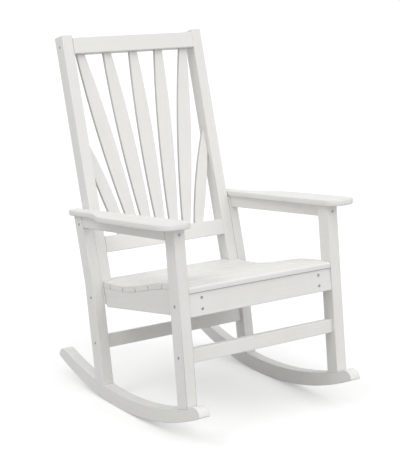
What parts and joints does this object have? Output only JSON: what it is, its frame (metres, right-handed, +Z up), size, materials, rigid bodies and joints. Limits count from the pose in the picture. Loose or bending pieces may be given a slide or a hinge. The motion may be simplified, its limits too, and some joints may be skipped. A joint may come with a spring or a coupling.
{
  "type": "outdoor rocking chair",
  "caption": "White outdoor rocking chair of board lumber: curved rockers, leaning legs, flat shaped arms, scooped slatted seat and a framed back with a fan of leaf-shaped slats.",
  "frame": {"origin": "on the floor under the middle of the chair's box", "axes": "+X to the right seen from the front, -Y to the front, +Z up"},
  "size_m": [0.716, 0.87, 1.1315],
  "materials": {
    "white_lumber": "fine satin grain",
    "screw_steel": "brushed"
  },
  "bodies": {
    "root": {"apron_screws": "screw_steel", "arm_left": "white_lumber", "arm_rail_left": "white_lumber", "arm_rail_right": "white_lumber", "arm_rail_screws": "screw_steel", "arm_right": "white_lumber", "arm_screws": "screw_steel", "back_post_left": "white_lumber", "back_post_right": "white_lumber", "back_rail_screws": "screw_steel", "back_slat_1": "white_lumber", "back_slat_2": "white_lumber", "back_slat_3": "white_lumber", "back_slat_4": "white_lumber", "back_slat_5": "white_lumber", "back_slat_6": "white_lumber", "back_slat_7": "white_lumber", "front_apron": "white_lumber", "front_leg_left": "white_lumber", "front_leg_right": "white_lumber", "front_stretcher": "white_lumber", "leg_screws": "screw_steel", "lower_back_rail": "white_lumber", "post_screws": "screw_steel", "rear_leg_left": "white_lumber", "rear_leg_right": "white_lumber", "rear_stretcher": "white_lumber", "rocker_left": "white_lumber", "rocker_right": "white_lumber", "rocker_screws": "screw_steel", "seat_screws": "screw_steel", "seat_side_rail_left": "white_lumber", "seat_side_rail_right": "white_lumber", "seat_slat_1": "white_lumber", "seat_slat_2": "white_lumber", "seat_slat_3": "white_lumber", "seat_slat_4": "white_lumber", "seat_slat_5": "white_lumber", "seat_slat_6": "white_lumber", "seat_slat_7": "white_lumber", "seat_support_left": "white_lumber", "seat_support_right": "white_lumber", "support_screws": "screw_steel", "top_back_rail": "white_lumber"}
  },
  "joints": []
}
